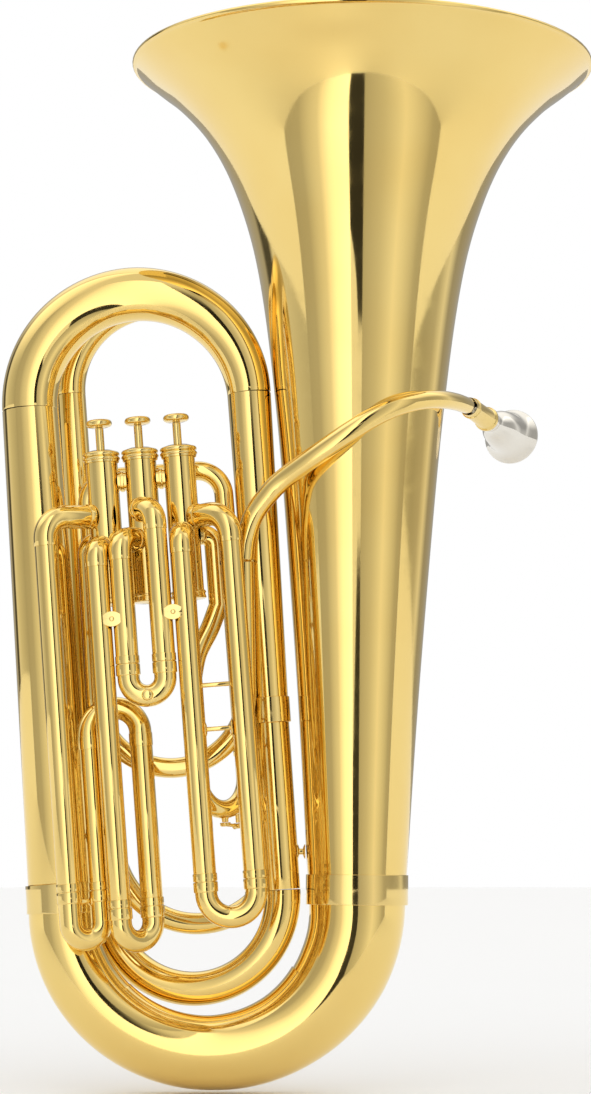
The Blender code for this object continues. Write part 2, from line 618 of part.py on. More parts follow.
def make_inlet_bow():
    """The tube from the mouthpipe round under the slides and up to casing 1."""
    right, left = slant(INLET_RIGHT, -16, INLET_BOW_H), slant(INLET_LEFT, -10.5, INLET_BOW_H)
    dip = ALONG * (-(right - left).length / 2)
    top = slant(-47.4, -6, 36)
    axis = casing_axis(1, 46)
    inward = (axis - slant(-47.4, -6, 46)).normalized()
    turn = quarter_turn(top + inward * 10, -inward * 10, ALONG * 10, 5)
    last = turn[-1] + inward * 6
    path = [slant(75.6, -27, 20), *half_turn(right, left, dip, 12), *turn, last]
    bow = tube("inlet_bow", path, (7.9, 7.6))
    trim(bow, casing_rod(1))
    return [(turn[-1] - inward * 6, last, 5.4)]


# ------------------------------------------------------------------ mouthpipe

MOUTHPIPE = (
    (-40.5, -27.2, 413.8), (-38.6, -29.5, 430), (-32.4, -36, 447.6), (-20.4, -44, 463.6), (-7.4, -50.8, 475.2),
    (17.4, -66, 491.2), (42, -77, 506.8), (60, -79.5, 517.8), (78.5, -76.5, 526.8), (96.5, -66, 533), (112.6, -49, 536.6),
    (126, -26.5, 538.6), (136.5, -4.0, 539.2),
)
RECEIVER_START, RECEIVER_DIRECTION = (138.2, 0.2, 539.2), (0.37, 0.925, -0.075)
RECEIVER_LENGTH = 48.0


def make_mouthpipe():
    tube("mouthpipe", smooth_path([Vector(p) for p in MOUTHPIPE], 1), (7.8, 8.2, 8.0, 7.2, 6.6))
    start, way = Vector(RECEIVER_START), Vector(RECEIVER_DIRECTION).normalized()
    end = start + way * RECEIVER_LENGTH
    tube(
        "mouthpiece_receiver",
        [start - way * 0.2, start + way * 6, start + way * 6.5, start + way * (RECEIVER_LENGTH - 6),
         start + way * (RECEIVER_LENGTH - 5), end],
        (7.4, 7.4, 7.9, 8.2, 9.2, 9.2), bore=7.05, wall=1, sides=MIDDLE_SIDES, colour=PALE_GOLD,
    )
    tip = end - way * 24
    profile = [
        (5.9, 0), (6.5, 24), (7.4, 27), (8.0, 34), (7.4, 40), (9.5, 45), (13.2, 50), (15.6, 58), (16.8, 68), (17.6, 78),
        (20.2, 84), (22.2, 87), (22.4, 89.6), (20.6, 91.6), (18.6, 92), (16.9, 90.6), (16.2, 87), (15.4, 76),
        (13.2, 64), (9.5, 56), (5.5, 51), (4.1, 48), (4.6, 30), (5.4, 0),
    ]
    mouthpiece = turned("mouthpiece", profile, tip, way, sides=12, colour=SILVER, roughness=0.08)
    pivot("mouthpiece_pull", end, mouthpiece)


# ------------------------------------------------------------------ braces

def make_braces():
    """Short bars with flanges that hold the branches and slides to one another."""
    start, end = Vector((-6, 0, 186)), Vector((30, 0, 186))
    bell_side = (bell_axis(100), bell_axis(300), 43.0, LARGE_SIDES)
    lower = slant(RETURN_FOOT_ACROSS + 0.2, 0, -150), slant(RETURN_FOOT_ACROSS - 0.1, 0, -230), 14.2, MIDDLE_SIDES
    bar = rod("bell_brace", start, end, 2.6, colour=PALE_GOLD)
    for index, x in enumerate((1.0, 4.6)):
        flange = tube(f"bell_brace_flange_{index}", [Vector((x, 0, 186)), Vector((x + 1.2, 0, 186))], 6.5, wall=None,
                      sides=4, helper=True)
        boolean(bar, flange, "UNION")
    trim(bar, bell_side, lower)
    for name, height in (("upper_branch_brace", -22), ("lower_branch_brace", -186)):
        near, far = slant(OUTER_ACROSS, -2, height), leg_point("a", height)
        bar = rod(name, near, far, 2.4, colour=PALE_GOLD)
        way = (far - near).normalized()
        for index, at in enumerate((30, (far - near).length - 12)):
            disc = tube(f"{name}_disc_{index}", [near + way * at, near + way * (at + 2.2)], 7, wall=None, helper=True)
            boolean(bar, disc, "UNION")
        outer = slant(OUTER_ACROSS, 0, TOP_BOW_H), Vector((BOW_CENTRE_X - BOW_HALF, 0, 149)), 26.4, LARGE_SIDES
        trim(bar, outer, leg_rod("a"))
    for name, letters, height in (("left_tube_plate", "cg", -20), ("right_tube_plate", "he", -18)):
        middle = (leg_point(letters[0], height) + leg_point(letters[1], height)) / 2
        plate = tube(name, [middle - DEPTH * 9, middle - DEPTH * 5.5], 8.4, wall=None, sides=4, colour=PALE_GOLD)
        trim(plate, leg_rod(letters[0]), leg_rod(letters[1]))


def main():
    for obj in list(bpy.data.objects):
        bpy.data.objects.remove(obj, do_unlink=True)
    make_bell()
    make_bottom_bow()
    make_bottom_guard()
    make_branches()
    make_main_ferrules()
    third_ports = make_third_slide()
    first_ports = make_first_slide()
    second_ports = make_second_slide()
    tuning_ports = make_tuning_slide()
    inlet_ports = make_inlet_bow()
    links = [
        (casing_axis(number, KNUCKLE_H) + ACROSS * 6, casing_axis(number + 1, KNUCKLE_H) - ACROSS * 6, KNUCKLE_R - 1.6)
        for number in (1, 2)
    ]
    make_valve(1, [*third_ports, *inlet_ports, links[0]])
    make_valve(2, [*second_ports, *links])
    make_valve(3, [*first_ports, *tuning_ports, links[1]])
    for number in (1, 2):
        make_knuckle(number)
    make_mouthpipe()
    make_braces()


main()
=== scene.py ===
"""The looks of an upright tuba in lacquered brass: drawn tubes, a spun bell, turned valves and studio light.

Lengths are millimetres until a mesh is made. The valves, slides and long branches lean by one angle, so they
are placed in slanted coordinates: across, depth and height from the foot of the middle valve casing.
"""

import json
import math

import bpy
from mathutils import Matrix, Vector


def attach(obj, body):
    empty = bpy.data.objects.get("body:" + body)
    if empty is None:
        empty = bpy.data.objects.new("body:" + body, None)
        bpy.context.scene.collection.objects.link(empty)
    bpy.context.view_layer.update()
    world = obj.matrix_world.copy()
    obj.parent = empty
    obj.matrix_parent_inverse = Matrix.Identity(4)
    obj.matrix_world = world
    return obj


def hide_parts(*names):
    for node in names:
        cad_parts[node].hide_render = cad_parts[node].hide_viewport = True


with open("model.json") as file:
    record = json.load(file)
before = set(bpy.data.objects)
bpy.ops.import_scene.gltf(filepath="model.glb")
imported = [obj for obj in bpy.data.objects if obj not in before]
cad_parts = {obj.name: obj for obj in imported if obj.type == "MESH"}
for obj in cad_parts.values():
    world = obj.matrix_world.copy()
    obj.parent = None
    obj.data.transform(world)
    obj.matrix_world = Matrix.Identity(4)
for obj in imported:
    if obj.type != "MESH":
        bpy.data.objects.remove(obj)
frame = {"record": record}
bpy.ops.object.select_all(action="DESELECT")
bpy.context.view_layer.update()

MM = 0.001
LEAN = math.radians(4.32)
BLOCK = Vector((-116.5, 0, 386))  # foot of the middle casing
ORIGIN_X = -2.1
ACROSS = Vector((math.cos(LEAN), 0, math.sin(LEAN)))
ALONG = Vector((-math.sin(LEAN), 0, math.cos(LEAN)))
DEPTH = Vector((0, 1, 0))
BODY_OF = {node: body for body, nodes in frame["record"]["behaviour"]["bodies"].items() for node in nodes}
TURN = 2 * math.pi

# Facets round a tube and points round a bow, by its size
FINE, MEDIUM, SMALL = 96, 64, 40
BOW_STEPS, ELBOW_STEPS, SPAN_STEPS = 64, 16, 8
EDGE = 0.25  # rounding of a tube's cut end
SHARP = 35  # degrees past which an edge is shaded sharp


# ------------------------------------------------------------------ places and paths

def slant(across, depth, height):
    return BLOCK + ACROSS * across + DEPTH * depth + ALONG * height


def bell_axis(z):
    return Vector((46.1 + 0.0086 * (z - 163), 0, z))


def spread(values, share):
    """The value at a share of the way along an evenly spaced list, eased between its neighbours."""
    place = share * (len(values) - 1)
    low = min(int(place), len(values) - 2)
    return values[low] + (values[low + 1] - values[low]) * (place - low)


def quarter_turn(centre, start, end):
    turns = [math.pi / 2 * i / ELBOW_STEPS for i in range(ELBOW_STEPS + 1)]
    return [centre + start * math.cos(t) + end * math.sin(t) for t in turns]


def half_turn(first, last, dip, bulge=Vector(), steps=BOW_STEPS):
    """Points from first to last round a half turn that reaches dip from the middle of the two."""
    centre, arm = (first + last) / 2, (first - last) / 2
    turns = [math.pi * i / steps for i in range(steps + 1)]
    return [centre + arm * math.cos(t) + (dip + bulge) * math.sin(t) for t in turns]


def smooth_path(knots, per_span=SPAN_STEPS):
    """A Catmull-Rom curve through the knots."""
    ends = [knots[0] * 2 - knots[1], *knots, knots[-1] * 2 - knots[-2]]
    points = []
    for p0, p1, p2, p3 in zip(ends, ends[1:], ends[2:], ends[3:]):
        for i in range(per_span):
            t = i / per_span
            near, bend = p1 * 2 + (p2 - p0) * t, p0 * 2 - p1 * 5 + p2 * 4 - p3
            points.append((near + bend * t**2 + (p1 * 3 - p0 - p2 * 3 + p3) * t**3) / 2)
    return [*points, knots[-1]]


def shares(points):
    """How far along the path each point lies, from 0 to 1."""
    run = [0.0]
    for a, b in zip(points, points[1:]):
        run.append(run[-1] + (b - a).length)
    return [value / run[-1] for value in run]


# ------------------------------------------------------------------ making meshes

def select_only(*objects):
    bpy.ops.object.select_all(action="DESELECT")
    for obj in objects:
        obj.select_set(True)
    bpy.context.view_layer.objects.active = objects[0]


def apply_modifier(obj, kind, **settings):
    select_only(obj)
    modifier = obj.modifiers.new(kind.lower(), kind)
    for key, value in settings.items():
        setattr(modifier, key, value)
    bpy.ops.object.modifier_apply(modifier=modifier.name)


def edit_all(obj, *steps):
    select_only(obj)
    bpy.ops.object.mode_set(mode="EDIT")
    bpy.ops.mesh.select_all(action="SELECT")
    for step in steps:
        step()
    bpy.ops.object.mode_set(mode="OBJECT")


def face_outwards():
    bpy.ops.mesh.remove_doubles(threshold=1e-7)
    bpy.ops.mesh.normals_make_consistent(inside=False)


def rounded(obj, width, segments, degrees):
    """Rounds each edge that bends by more than this many degrees."""
    limit = math.radians(degrees)
    apply_modifier(obj, "BEVEL", width=width * MM, segments=segments, limit_method="ANGLE", angle_limit=limit)


def smoothed(obj):
    select_only(obj)
    bpy.ops.object.shade_smooth_by_angle(angle=math.radians(SHARP))
    return obj


def drawn(name, points, radii, wall=0.6, sides=SMALL, edge=EDGE):
    """A tube drawn along points, open at its ends; a wall of None makes a solid bar with capped ends."""
    radii = radii if isinstance(radii, (tuple, list)) else (radii, radii)
    if len(radii) != len(points):
        radii = [spread(radii, share) for share in shares(points)]
    curve = bpy.data.curves.new(name, "CURVE")
    curve.dimensions = "3D"
    curve.bevel_depth = 1.0
    curve.bevel_resolution = sides // 2 - 2
    curve.use_fill_caps = wall is None
    spline = curve.splines.new("POLY")
    spline.points.add(len(points) - 1)
    for knot, point, radius in zip(spline.points, points, radii):
        knot.co = (*(point * MM), 1)
        knot.radius = radius * MM
    obj = bpy.data.objects.new(name, curve)
    bpy.context.scene.collection.objects.link(obj)
    select_only(obj)
    bpy.ops.object.convert(target="MESH")
    edit_all(obj, face_outwards)
    if wall is not None:
        apply_modifier(obj, "SOLIDIFY", thickness=wall * MM, offset=-1)
    if edge:
        rounded(obj, edge, 2, 60)
    return smoothed(obj)


def turned(name, outline, base, axis, steps=MEDIUM, edge=0.0):
    """A shape spun about an axis from (radius, height) points; ends at a radius of 0 close it on the axis."""
    axis = axis.normalized()
    side = (DEPTH - axis * DEPTH.dot(axis))
    side = side.normalized() if side.length > 0.05 else Vector((1, 0, 0))
    points = [(base + side * radius + axis * height) * MM for radius, height in outline]
    if outline[0][0] and outline[-1][0]:
        points.append(points[0])
    bpy.ops.object.select_all(action="DESELECT")
    bpy.ops.mesh.primitive_plane_add(size=MM)
    obj = bpy.context.object
    obj.name = name
    bpy.ops.object.mode_set(mode="EDIT")
    bpy.ops.mesh.select_all(action="SELECT")
    bpy.ops.mesh.merge(type="CENTER")
    bpy.ops.transform.translate(value=points[0])
    for start, end in zip(points, points[1:]):
        bpy.ops.mesh.extrude_region_move(TRANSFORM_OT_translate={"value": end - start})
    bpy.ops.mesh.select_all(action="SELECT")
    bpy.ops.mesh.spin(steps=steps, angle=TURN, center=base * MM, axis=axis)
    bpy.ops.mesh.select_all(action="SELECT")
    bpy.ops.mesh.remove_doubles(threshold=1e-6)
    bpy.ops.mesh.normals_make_consistent(inside=False)
    bpy.ops.object.mode_set(mode="OBJECT")
    if edge:
        rounded(obj, edge, 3, 28)
    return smoothed(obj)


def sleeve(name, start, end, radius, thick=0.9, steps=MEDIUM):
    """A ring over a joint, its ends rounded to the tube below."""
    length = (end - start).length
    outline = ((radius, 0), (radius + thick, 0), (radius + thick, length), (radius, length))
    return turned(name, outline, start, end - start, steps, edge=0.35)


def bar(name, start, end, radius):
    return drawn(name, [start, end], radius, wall=None, sides=24, edge=min(0.4, radius / 3))


def joined(first, *others):
    select_only(first, *others)
    bpy.ops.object.join()
    return first


def placed(obj, node, material):
    """Names a finished piece for the node that it stands for, and rides it on that node's body."""
    obj.name = f"{node}_finished"
    obj.data.name = obj.name
    obj.data.materials.clear()
    obj.data.materials.append(material)
    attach(obj, BODY_OF[node])
    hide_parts(node)


# ------------------------------------------------------------------ materials

class Value:
    """A shader socket that takes part in Python arithmetic."""

    def __init__(self, tree, socket):
        self.tree, self.socket = tree, socket

    def math(self, operation, *others):
        return self.tree.node("ShaderNodeMath", {"operation": operation}, dict(enumerate((self, *others))))

    def __add__(self, other):
        return self.math("ADD", other)

    def __sub__(self, other):
        return self.math("SUBTRACT", other)

    def __rsub__(self, other):
        return self.tree.node("ShaderNodeMath", {"operation": "SUBTRACT"}, {0: other, 1: self})

    def __mul__(self, other):
        return self.math("MULTIPLY", other)


class Tree:
    """A node tree, and the one method that adds its nodes."""

    def __init__(self, owner):
        owner.use_nodes = True
        self.nodes, self.links = owner.node_tree.nodes, owner.node_tree.links

    def node(self, kind, settings=None, inputs=None, output=0):
        made = self.nodes.new(kind)
        for key, value in (settings or {}).items():
            if key == "stops":
                ramp = made.color_ramp.elements
                while len(ramp) < len(value):
                    ramp.new(0.5)
                for element, (place, colour) in zip(ramp, value):
                    element.position, element.color = place, (*colour, 1)
            else:
                setattr(made, key, value)
        self.fill(made, inputs or {})
        return Value(self, made.outputs[output])

    def fill(self, made, inputs):
        for key, value in inputs.items():
            if isinstance(value, Value):
                self.links.new(value.socket, made.inputs[key])
            else:
                made.inputs[key].default_value = value

    def between(self, value, low, high, to_low=0.0, to_high=1.0):
        """The value taken smoothly from one range to another."""
        return self.node(
            "ShaderNodeMapRange", {"interpolation_type": "SMOOTHSTEP"},
            {"Value": value, "From Min": low, "From Max": high, "To Min": to_low, "To Max": to_high},
        )


GRAIN = 0.00002  # depth of the buffing, in metres


def metal(name, light, deep, polish, haze, coat=0.0):
    """A polished metal whose colour drifts a little, with faint wiping marks and a fine hand-buffed grain."""
    material = bpy.data.materials.new(name)
    tree = Tree(material)
    shader = tree.nodes["Principled BSDF"]
    place = tree.node("ShaderNodeTexCoord", output=3)
    clouds = tree.node("ShaderNodeTexNoise", None, {"Vector": place, "Scale": 9.0, "Detail": 3.0})
    streaked = {"Vector": place, "Scale": 46.0, "Detail": 5.0, "Distortion": 0.6}
    wipes = tree.node("ShaderNodeTexNoise", None, streaked)
    buffing = tree.node("ShaderNodeTexNoise", None, {"Vector": place, "Scale": 420.0, "Detail": 2.0})
    colour = tree.node("ShaderNodeValToRGB", {"stops": ((0.3, deep), (0.68, light))}, {"Fac": clouds})
    rough = tree.between(wipes, 0.42, 0.75, polish, haze)
    height = buffing * 0.6 + wipes
    bump = tree.node("ShaderNodeBump", None, {"Strength": 0.12, "Distance": GRAIN, "Height": height})
    tree.fill(shader, {
        "Base Color": colour, "Metallic": 1.0, "Roughness": rough, "Normal": bump,
        "Coat Weight": coat, "Coat Roughness": 0.04,
    })
    return material


LACQUERED = metal("lacquered_brass", (0.93, 0.70, 0.25), (0.90, 0.65, 0.21), 0.055, 0.10, coat=0.35)
PALE = metal("pale_brass", (0.91, 0.70, 0.28), (0.86, 0.63, 0.22), 0.09, 0.15, coat=0.2)
SILVERED = metal("silver_plate", (0.86, 0.83, 0.76), (0.78, 0.74, 0.66), 0.05, 0.11)
NICKELLED = metal("nickelled_steel", (0.70, 0.69, 0.66), (0.60, 0.59, 0.56), 0.14, 0.24)


def in_brass(obj, node):
    placed(obj, node, LACQUERED)


def in_pale_brass(obj, node):
    placed(obj, node, PALE)


# ------------------------------------------------------------------ bell and bows

BELL_PROFILE = (
    (156, 38.2), (305, 47.5), (464, 60), (544, 67.8), (610, 76), (660, 85), (700, 96.5), (735, 111),
    (764, 129), (788, 151), (805, 172), (815.5, 184.6),
)
BELL_WALL, BEAD = 0.9, 2.2
BOW_CENTRE, BOW_HALF, BOW_DROP = Vector((-69.1, 0, 143.2)), 115.2, 113.0
BOW_RADII = (38.2, 35.9, 31.4, 28.5, 27.9, 27.4, 26.5)
GUARD_THICK = 1.2
OUTER, RETURN_TOP, RETURN_FOOT, TOP_BOW_H = -85.5, 89.4, 86.5, 157.0
TOP_BOW_RADII = (22.4, 22.2, 21.6, 20.2, 17.4)
INNER, INNER_FOOT_H, RETURN_STEP_H = -54.6, -237.0, -95.0


def make_bell():
    path = smooth_path([Vector((radius, 0, z)) for z, radius in BELL_PROFILE])
    outer = [(point.x, point.z) for point in path]
    rim_r, rim_z = outer[-1]
    centre_r, centre_z = rim_r - BEAD * 0.6, rim_z + 0.6
    turns = [math.radians(t) for t in range(45, 250, 10)]
    bead = [(centre_r + BEAD * math.sin(t), centre_z - BEAD * math.cos(t)) for t in turns]
    inner = [(radius - BELL_WALL, z) for radius, z in reversed(outer[:-1])]
    foot = bell_axis(0)
    bell = turned("bell", outer[:-1] + bead + inner, foot, bell_axis(800) - foot, FINE)
    in_brass(bell, "bell")
    ring = sleeve("ring", bell_axis(144.6), bell_axis(167.9), 39.1, 1.0, FINE)
    in_pale_brass(ring, "bell_ferrule")


def bow_point(degrees):
    t = math.radians(degrees)
    return BOW_CENTRE + Vector((BOW_HALF * math.cos(t), 0, -BOW_DROP * math.sin(t)))


def make_bottom_bow():
    right = [Vector((BOW_CENTRE.x + BOW_HALF, 0, z)) for z in (155.6, 150.0)]
    left = [Vector((BOW_CENTRE.x - BOW_HALF, 0, z)) for z in (146, 148.8)]
    round_part = [bow_point(180 * i / BOW_STEPS) for i in range(BOW_STEPS + 1)]
    in_brass(drawn("bow", right + round_part + left, BOW_RADII, 0.8, FINE), "bottom_bow")
    x = BOW_CENTRE.x - BOW_HALF
    knots = [Vector((x, 0, 138)), Vector((x - 0.3, 0, 146)), Vector((x - 1.4, 0, 161))]
    in_pale_brass(drawn("ring", smooth_path(knots, 4), 27.9, 1.0, FINE, edge=0.35), "bottom_bow_ferrule")


def make_bottom_guard():
    """A strip wrapped on the underside of the bow, drawn from an arc that follows the bow's radius."""
    first, last, wrap, steps = 37, 135, math.radians(34), 24
    profile = bpy.data.curves.new("guard_profile", "CURVE")
    strip = profile.splines.new("POLY")
    strip.points.add(steps)
    for i, knot in enumerate(strip.points):
        t = -wrap + 2 * wrap * i / steps
        knot.co = (math.sin(t), math.cos(t), 0, 1)
    shape = bpy.data.objects.new("guard_profile", profile)
    bpy.context.scene.collection.objects.link(shape)
    curve = bpy.data.curves.new("guard", "CURVE")
    curve.dimensions, curve.twist_mode = "3D", "Z_UP"
    curve.bevel_mode, curve.bevel_object = "OBJECT", shape
    spline = curve.splines.new("POLY")
    degrees = [first + (last - first) * i / BOW_STEPS for i in range(BOW_STEPS + 1)]
    spline.points.add(BOW_STEPS)
    for knot, degree in zip(spline.points, degrees):
        knot.co = (*(bow_point(degree) * MM), 1)
        knot.radius = (spread(BOW_RADII, degree / 180) + 0.45) * MM
    guard = bpy.data.objects.new("guard", curve)
    bpy.context.scene.collection.objects.link(guard)
    select_only(guard)
    bpy.ops.object.convert(target="MESH")
    bpy.data.objects.remove(shape)
    edit_all(guard, face_outwards)
    apply_modifier(guard, "SOLIDIFY", thickness=GUARD_THICK * MM, offset=1)
    rounded(guard, 0.3, 2, 50)
    in_brass(smoothed(guard), "bottom_guard")


def make_branches():
    foot, top = Vector((BOW_CENTRE.x - BOW_HALF - 0.2, 0, 151.4)), slant(OUTER, 0, TOP_BOW_H - 0.4)
    in_brass(drawn("outer", [foot, top], (26.4, 22.4), 0.8, FINE), "outer_branch")
    left, right = slant(OUTER, 0, TOP_BOW_H), slant(RETURN_TOP, 0, TOP_BOW_H)
    bow = half_turn(left, right, ALONG * ((right - left).length / 2))
    top_bow = drawn("top", bow, TOP_BOW_RADII, 0.8, FINE)
    start, foot = slant(RETURN_TOP, 0, TOP_BOW_H - 0.4), slant(RETURN_FOOT, 0, INNER_FOOT_H)
    step = start + (foot - start) * ((TOP_BOW_H - RETURN_STEP_H) / (TOP_BOW_H - INNER_FOOT_H))
    down = (foot - start).normalized()
    in_brass(top_bow, "top_bow")
    in_brass(drawn("return", [start, step - down * 0.3], (17.4, 14.5), 0.7, MEDIUM), "return_branch")
    lower = drawn("return", [step + down * 0.3, foot - down * 0.4], 14.2, 0.7, MEDIUM)
    in_brass(lower, "lower_return_branch")
    in_pale_brass(sleeve("ring", step - down * 9, step + down * 11, 14.8, 0.9), "return_ferrule")
    foot_left = slant(INNER, 27, INNER_FOOT_H)
    bow = half_turn(foot, foot_left, ALONG * (-(foot - foot_left).length / 2))
    in_brass(drawn("bow", bow, (14.2, 13.4, 12.6), 0.7, MEDIUM), "inner_bottom_bow")
    head, head_right = slant(INNER, 36, 173), slant(84, 36, 173)
    rise = (head - foot_left).normalized()
    inner = drawn("inner", [foot_left + rise * 0.4, head - rise * 0.4], (12.5, 11.6), 0.7, MEDIUM)
    in_brass(inner, "inner_branch")
    bow = half_turn(head, head_right, ALONG * ((head_right - head).length / 2))
    in_brass(drawn("bow", bow, (11.6, 11.3), 0.7, MEDIUM), "inner_top_bow")
    small_right, small_left = slant(88, 30, -192), slant(-43, 6, -192)
    fall = (small_right - head_right).normalized()
    ends = [head_right + fall * 0.4, small_right - fall * 0.4]
    in_brass(drawn("inner", ends, (11.3, 8.5), 0.6, SMALL), "inner_return_branch")
    bow = half_turn(small_right, small_left, ALONG * (-(small_right - small_left).length / 2))
    in_brass(drawn("bow", [*bow, slant(-45.3, 11.5, 34)], (8.5, 8.2), 0.6), "small_bottom_bow")


# ------------------------------------------------------------------ valves

VALVE_PITCH, VALVE_DEPTH = 30.5, -22.0
CASING_R, CASING_BORE, CASING_FOOT, CASING_TOP = 12.5, 11.3, -4.0, 113.4
KNUCKLE_H, KNUCKLE_R = 91.0, 7.4
STEM_R, STEM_TOP = 3.15, 134.5
BUTTON_R, BUTTON_FOOT = 10.25, 134.8
CAP_R, CAP_FOOT, CAP_TOP = 14.75, 106.6, 117.0
PISTON_R, PISTON_FOOT, PISTON_TOP = 11, 28, 105.5
PASSAGE_R, PASSAGE_REACH = 5.0, 14
SPRING_R, SPRING_WIRE, SPRING_TURNS, SPRING_TOP = 8, 0.8, 4, 26.9


def casing_axis(number, height):
    return slant((number - 2) * VALVE_PITCH, VALVE_DEPTH, height)


def arc(centre_r, centre_h, radius, start, end, steps=10):
    """Outline points round part of a circle, its angles in degrees from the outward direction."""
    turns = [math.radians(start + (end - start) * i / steps) for i in range(steps + 1)]
    return [(centre_r + radius * math.cos(t), centre_h + radius * math.sin(t)) for t in turns]


def make_valve(number):
    foot = casing_axis(number, 0)
    casing = turned(
        "casing",
        [
            (CASING_R, CASING_FOOT), (CASING_R, CASING_TOP),
            (CASING_BORE, CASING_TOP), (CASING_BORE, CASING_FOOT),
        ],
        foot, ALONG, FINE, edge=0.3,
    )
    in_brass(casing, f"valve_casing_{number}")
    cap = turned(
        "cap",
        [
            (CASING_R + 0.2, CAP_FOOT), (CAP_R - 1.1, CAP_FOOT),
            *arc(CAP_R - 1.5, CAP_FOOT + 2.9, 1.5, -60, 60, 8),
            (CAP_R - 1.2, CAP_FOOT + 4.9), *arc(CAP_R - 2.1, CAP_TOP - 3.9, 1.9, -20, 85, 8),
            (CAP_R - 6, CAP_TOP - 0.6), (STEM_R + 3, CAP_TOP - 0.1), (STEM_R + 0.45, CAP_TOP),
            (STEM_R + 0.45, CASING_TOP + 0.6), (CASING_R + 0.2, CASING_TOP + 0.6),
        ],
        foot, ALONG, FINE,
    )
    in_pale_brass(cap, f"valve_top_cap_{number}")
    low_cap = turned(
        "cap",
        [
            (CASING_R + 0.2, 0.6), (13.4, 0.5), *arc(13.0, -0.7, 0.9, 60, -60, 6), (13.2, -2.0),
            *arc(12.7, -4.6, 1.2, 30, -80, 8), (9.5, -6.3), *arc(3.0, -5.9, 0.9, -60, -180, 6), (2.1, -5.0),
            (CASING_R + 0.2, -5.0),
        ],
        foot, ALONG, FINE,
    )
    in_pale_brass(low_cap, f"valve_bottom_cap_{number}")
    piston = turned(
        "piston",
        [
            (0, PISTON_FOOT), (PISTON_R, PISTON_FOOT), (PISTON_R, PISTON_TOP - 1.5),
            (PISTON_R - 2, PISTON_TOP), (STEM_R, PISTON_TOP), (STEM_R, STEM_TOP), (0, STEM_TOP),
        ],
        foot, ALONG, MEDIUM, edge=0.3,
    )
    passages = (
        [(-PASSAGE_REACH, 0, KNUCKLE_H), (PASSAGE_REACH, 0, KNUCKLE_H)],
        [(-PASSAGE_REACH, 1, 74), (-5, -2, 70), (-1.5, -6, 64), (-1, -PASSAGE_REACH, 60)],
        [(PASSAGE_REACH, 1, 46), (5, -2, 45), (1.5, -6, 42), (1, -PASSAGE_REACH, 40)],
    )
    for knots in passages:
        points = [foot + ACROSS * a + DEPTH * d + ALONG * h for a, d, h in knots]
        path = smooth_path(points) if len(points) > 2 else points
        drill = drawn("drill", path, PASSAGE_R, None, 24, edge=0)
        apply_modifier(piston, "BOOLEAN", operation="DIFFERENCE", object=drill, solver="EXACT")
        bpy.data.objects.remove(drill)
    placed(smoothed(piston), f"valve_piston_{number}", NICKELLED)
    low, high = foot + ALONG * (PISTON_TOP + 0.1), foot + ALONG * (STEM_TOP - 0.1)
    stem = sleeve(f"stem_{number}", low, high, STEM_R, 0.15, SMALL)
    stem.data.materials.append(PALE)
    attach(stem, f"valve_{number}")
    rim = 2.75
    button = turned(
        "button",
        [
            (0, BUTTON_FOOT), (4.0, BUTTON_FOOT), (5.4, BUTTON_FOOT + 0.5),
            *arc(BUTTON_R - rim, BUTTON_FOOT + 3.4, rim, -80, 95, 16), (BUTTON_R - 5, BUTTON_FOOT + 5.75),
            (0, BUTTON_FOOT + 5.5),
        ],
        foot, ALONG, MEDIUM,
    )
    in_pale_brass(button, f"finger_button_{number}")
    low, per_turn = CASING_FOOT + 0.2, 28
    rise = (SPRING_TOP - low) / (SPRING_TURNS * per_turn)
    helix = []
    for i in range(SPRING_TURNS * per_turn + 1):
        t = TURN * i / per_turn
        around = ACROSS * (SPRING_R * math.cos(t)) + DEPTH * (SPRING_R * math.sin(t))
        helix.append(foot + around + ALONG * (low + rise * i))
    spring = drawn("spring", helix, SPRING_WIRE, None, 10, edge=0)
    placed(spring, f"valve_spring_{number}", NICKELLED)


def make_knuckles():
    for number in (1, 2):
        start, end = casing_axis(number, KNUCKLE_H), casing_axis(number + 1, KNUCKLE_H)
        reach = ACROSS * (CASING_R - 0.7)
        tube = drawn("knuckle", [start + reach, end - reach], KNUCKLE_R, 1.0, SMALL, edge=0)
        middle = (start + end) / 2
        collar = sleeve("collar", middle - ACROSS * 1.4, middle + ACROSS * 1.4, KNUCKLE_R, 0.8, SMALL)
        in_brass(joined(tube, collar), f"valve_knuckle_{number}")


# ------------------------------------------------------------------ slides

SLIDE_DEPTH, LINK_DEPTH, RETURN_DEPTH = -50.0, -38.0, -32.0
LEG_R, LEG_WALL, INNER_LEG_R, CROOK_R = 8.9, 0.4, 8.2, 8.6
SLIDE_ACROSS = {"a": -76.5, "b": -54.0, "c": -38.3, "d": -14.2, "e": 28.4, "f": 66.8, "g": -19.4, "h": 9.0}
TUNING_R, TUNING_INNER_R = 7.6, 6.9
STOP_LENGTH, STOP_THICK = 6, 0.5  # the ring round the open foot of a fixed leg
FLANGE_THICK = 1.2
TUNING_LEFT, TUNING_RIGHT, TUNING_FOOT_H, TUNING_CROOK_H = (28.2, -31.0), (64.0, 2.0), -124.0, -147.0


def leg_point(letter, height, depth=SLIDE_DEPTH):
    return slant(SLIDE_ACROSS[letter], depth, height)


def front(letter):
    """Where a front leg stands, across and in depth."""
    return SLIDE_ACROSS[letter], SLIDE_DEPTH


def stop_ring(foot, radius):
    return sleeve("stop", foot, foot + ALONG * STOP_LENGTH, radius, STOP_THICK, SMALL)


